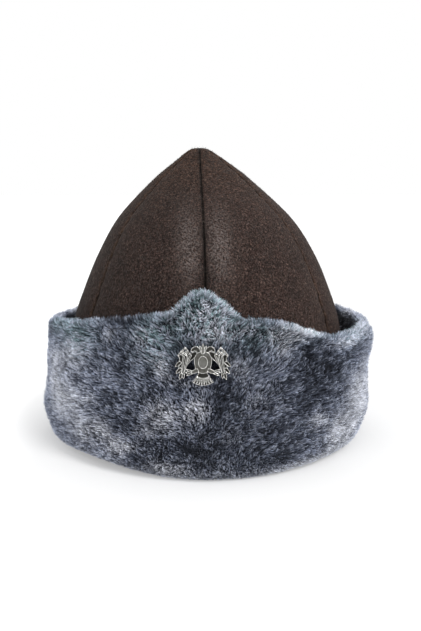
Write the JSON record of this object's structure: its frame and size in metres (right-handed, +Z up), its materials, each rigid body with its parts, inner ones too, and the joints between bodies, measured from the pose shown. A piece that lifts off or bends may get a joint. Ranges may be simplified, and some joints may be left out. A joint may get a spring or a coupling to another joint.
{
  "type": "bork hat",
  "caption": "Pointed felt cap of sewn gores, hollow, in a deep turned-up fur band with a peak at the front and a pierced two-headed eagle badge.",
  "frame": {"origin": "centre of the bounding box on the surface that the band rests on", "axes": "+Z up through the tip, -Y towards the front with the badge, +X to the right as seen from the front"},
  "size_m": [0.2209, 0.2392, 0.1858],
  "materials": {
    "crown_felt": "dark brown pressed wool felt, short mottled fibre, matte with a faint sheen on the folds beside the seams",
    "band_fur": "dense blue-grey plush fur, mottled from charcoal to silver",
    "badge_metal": "antique silver, bright raised edges and dark oxidised recesses"
  },
  "bodies": {
    "root": {"crown_gore_front_right": "crown_felt", "crown_gore_side_right": "crown_felt", "crown_gore_back_right": "crown_felt", "crown_gore_back_left": "crown_felt", "crown_gore_side_left": "crown_felt", "crown_gore_front_left": "crown_felt", "fur_band": "band_fur", "badge": "badge_metal"}
  },
  "joints": []
}
